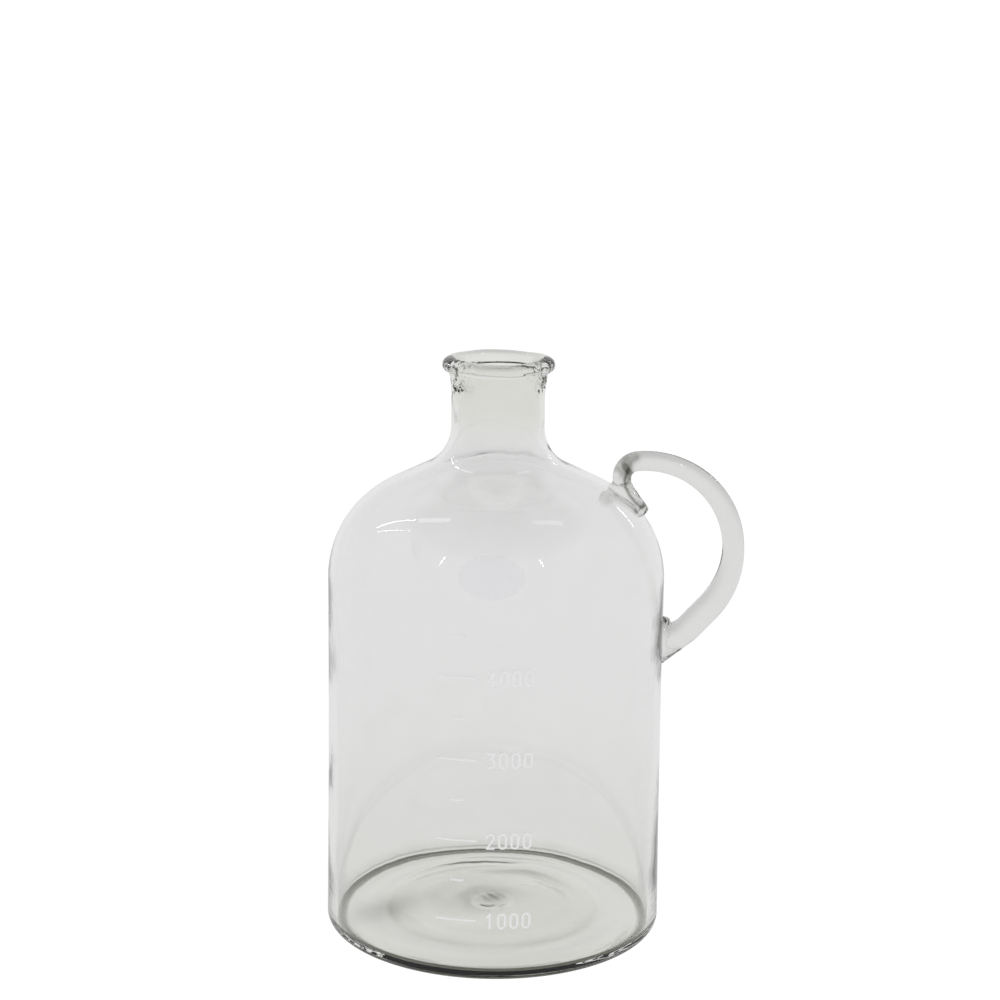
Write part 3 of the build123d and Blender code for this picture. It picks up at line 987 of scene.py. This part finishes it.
lower_ring = rod_ring(0, uneven=False)
upper_ring = rod_ring(len(rod) - 1, uneven=False)


FIT_STEP = 6            # every sixth point is enough to line a ring up


def lined_up(ring, loop):
    """Turns a ring so that its points match the loop's, by angle round the middle."""
    centre = sum(ring, Vector((0, 0, 0))) / len(ring)
    points = [outside_point(t, s) for t, s in loop]
    middle = sum(points, Vector((0, 0, 0))) / len(points)
    best = None
    for flip in (1, -1):
        for shift in range(len(ring)):
            turned = [ring[(shift + flip * i) % len(ring)] for i in range(len(ring))]
            score = sum(
                (turned[i] - centre).dot(points[i] - middle) for i in range(0, len(ring), FIT_STEP)
            )
            if best is None or score > best[0]:
                best = (score, turned)
    return best[1]


upper_ring = lined_up(upper_ring, upper_loop)
upper = foot_piece("upper", body, upper_seat, upper_edge, upper_loop, upper_ring)
upper_piece = make_mesh("upper_handle_foot_glass", upper, [rod_glass, weld], painted_rod_fold_shade)
lower_ring = lined_up(lower_ring, lower_loop)
lower = foot_piece("lower", body, lower_seat, lower_edge, lower_loop, lower_ring)
lower_piece = make_mesh("lower_handle_foot_glass", lower, [rod_glass, weld], painted_rod_fold_shade)

# ------------------------------------------------------------------ pieces on the frame
for piece, node in (
    (glass_body, "glass_body"),
    (lip_piece, "lip_ring"),
    (pontil_piece, "pontil_mark"),
    (handle_piece, "handle"),
    (upper_piece, "upper_handle_foot"),
    (lower_piece, "lower_handle_foot"),
):
    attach(piece, "root")
    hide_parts(node)
for node, material in (
    ("graduation_lines", white_enamel),
    ("graduation_numbers", white_enamel),
    ("writing_field", matt_enamel),
):
    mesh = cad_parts[node].data
    mesh.materials.clear()
    mesh.materials.append(material)

# ------------------------------------------------------------------ world
PAPER = 1.03            # brightness of the white ground
# Brightness of the studio from straight down (0) to straight up (1)
WORLD_STOPS = [
    (0.0, 0.58),
    (0.17, 0.64),
    (0.37, 0.8),
    (0.5, 0.815),
    (0.84, 0.82),
    (0.93, 0.35),
    (1.0, 0.12),
]


def paper_for_camera(tree, out, kind, otherwise):
    """White for rays straight from the camera, and the other shader for all the rest."""
    paper = tree.nodes.new(kind)
    paper.inputs["Color"].default_value = (1.0, 1.0, 1.0, 1)
    paper.inputs["Strength"].default_value = PAPER
    seen = tree.nodes.new("ShaderNodeLightPath")
    choose = tree.nodes.new("ShaderNodeMixShader")
    tree.links.new(seen.outputs["Is Camera Ray"], choose.inputs["Fac"])
    tree.links.new(otherwise, choose.inputs[1])
    tree.links.new(paper.outputs[0], choose.inputs[2])
    tree.links.new(choose.outputs["Shader"], out.inputs["Surface"])


scene = bpy.context.scene
world = bpy.data.worlds.new("studio")
scene.world = world
world.use_nodes = True
tree = world.node_tree
tree.nodes.clear()
out = tree.nodes.new("ShaderNodeOutputWorld")
background = tree.nodes.new("ShaderNodeBackground")
place = tree.nodes.new("ShaderNodeTexCoord")
split = tree.nodes.new("ShaderNodeSeparateXYZ")
ramp = tree.nodes.new("ShaderNodeValToRGB")
shift = tree.nodes.new("ShaderNodeMapRange")
shift.inputs["From Min"].default_value = -1.0
shift.inputs["From Max"].default_value = 1.0
ramp.color_ramp.interpolation = "EASE"
while len(ramp.color_ramp.elements) < len(WORLD_STOPS):
    ramp.color_ramp.elements.new(0.5)
for element, (at, value) in zip(ramp.color_ramp.elements, WORLD_STOPS):
    element.position = at
for element, (at, value) in zip(ramp.color_ramp.elements, WORLD_STOPS):
    element.color = (value, value, value, 1)
tree.links.new(place.outputs["Generated"], split.inputs["Vector"])
tree.links.new(split.outputs["Z"], shift.inputs["Value"])
tree.links.new(shift.outputs["Result"], ramp.inputs["Fac"])
tree.links.new(ramp.outputs["Color"], background.inputs["Color"])
paper_for_camera(tree, out, "ShaderNodeBackground", background.outputs["Background"])

# ------------------------------------------------------------------ lights
# Studio strips: azimuth from the front and elevation of both ends, width, brightness
STRIPS = [
    (-120, 29, -115, 53, 0.014, 26.0),
    (-115, 29, -98, 48, 0.008, 20.0),
    (-44, 35, -44, 43, 0.025, 12.0),
    (37, 36, 37, 44, 0.025, 12.0),
    (147, 24, 136, 16, 0.010, 20.0),
    (-113, 54, -111, 69, 0.14, 2.0),
    (105, 74, 109, 60, 0.14, 1.4),
]
STRIP_DISTANCE = 1.6
FILL_DISTANCE, FILL_WIDTH, FILL_LENGTH, FILL_BRIGHTNESS = 2.0, 1.6, 1.2, 0.9
focus = Vector((0, 0, SHOULDER_HEIGHT * MM + 0.03))


def direction(azimuth, elevation):
    a, e = math.radians(azimuth), math.radians(elevation)
    return Vector((math.sin(a) * math.cos(e), -math.cos(a) * math.cos(e), math.sin(e)))


def area_light(name, middle, length_way, width, length, brightness):
    """A rectangle facing the jug, its long side along length_way."""
    light_data = bpy.data.lights.new(name, "AREA")
    light_data.shape = "RECTANGLE"
    light_data.size, light_data.size_y = width, length
    light_data.energy = brightness * width * length * math.pi
    light = bpy.data.objects.new(name, light_data)
    back = (middle - focus).normalized()
    along = (length_way - back * length_way.dot(back)).normalized()
    side = along.cross(back)
    facing = Matrix((side, along, back)).transposed().to_4x4()
    light.matrix_world = Matrix.Translation(middle) @ facing
    scene.collection.objects.link(light)
    return light


for number, (*angles, width, brightness) in enumerate(STRIPS):
    end_1 = focus + direction(*angles[:2]) * STRIP_DISTANCE
    end_2 = focus + direction(*angles[2:]) * STRIP_DISTANCE
    gap = end_2 - end_1
    strip = area_light("strip_%d" % number, (end_1 + end_2) / 2, gap, width, gap.length, brightness)
    strip.visible_transmission = False
fill_place = focus + direction(8, 24) * FILL_DISTANCE
fill = area_light("fill", fill_place, Vector((0, 0, 1)), FILL_WIDTH, FILL_LENGTH, FILL_BRIGHTNESS)
fill.visible_glossy = False
fill.visible_transmission = False

# ------------------------------------------------------------------ floor
FLOOR_SIZE = 60.0
FLOOR_DROP = 0.0002
floor_mesh = bpy.data.meshes.new("floor")
half = FLOOR_SIZE / 2
corners = [(-half, -half, 0), (half, -half, 0), (half, half, 0), (-half, half, 0)]
floor_mesh.from_pydata(corners, [], [(0, 1, 2, 3)])
floor = bpy.data.objects.new("floor", floor_mesh)
scene.collection.objects.link(floor)
floor.location.z = cad_low.z - FLOOR_DROP
floor_material = bpy.data.materials.new("pale_floor")
tree, out = nodes_of(floor_material)
passing = tree.nodes.new("ShaderNodeBsdfTransparent")
paper_for_camera(tree, out, "ShaderNodeEmission", passing.outputs["BSDF"])
floor_mesh.materials.append(floor_material)

# ------------------------------------------------------------------ camera
camera_data = bpy.data.cameras.new("camera")
camera = bpy.data.objects.new("camera", camera_data)
scene.collection.objects.link(camera)
camera_data.lens = 85
camera_data.sensor_width = 36
camera_data.clip_start = 0.05
camera_data.clip_end = 200
CAMERA_PLACE = Vector((1.57, -1214.81, 513.58)) * MM
CAMERA_PITCH = math.radians(13.0)
CAMERA_ROLL = math.radians(0.675)
camera.matrix_world = (
    Matrix.Translation(CAMERA_PLACE)
    @ Matrix.Rotation(HALF_PI - CAMERA_PITCH, 4, "X")
    @ Matrix.Rotation(CAMERA_ROLL, 4, "Z")
)
scene.camera = camera

scene.view_settings.view_transform = "Standard"
scene.view_settings.look = "None"
scene.cycles.max_bounces = 14
scene.cycles.transmission_bounces = 14
scene.cycles.glossy_bounces = 10
scene.cycles.transparent_max_bounces = 24
scene.cycles.diffuse_bounces = 3
scene.cycles.caustics_refractive = True
scene.cycles.caustics_reflective = True
scene.cycles.sample_clamp_indirect = 6.0
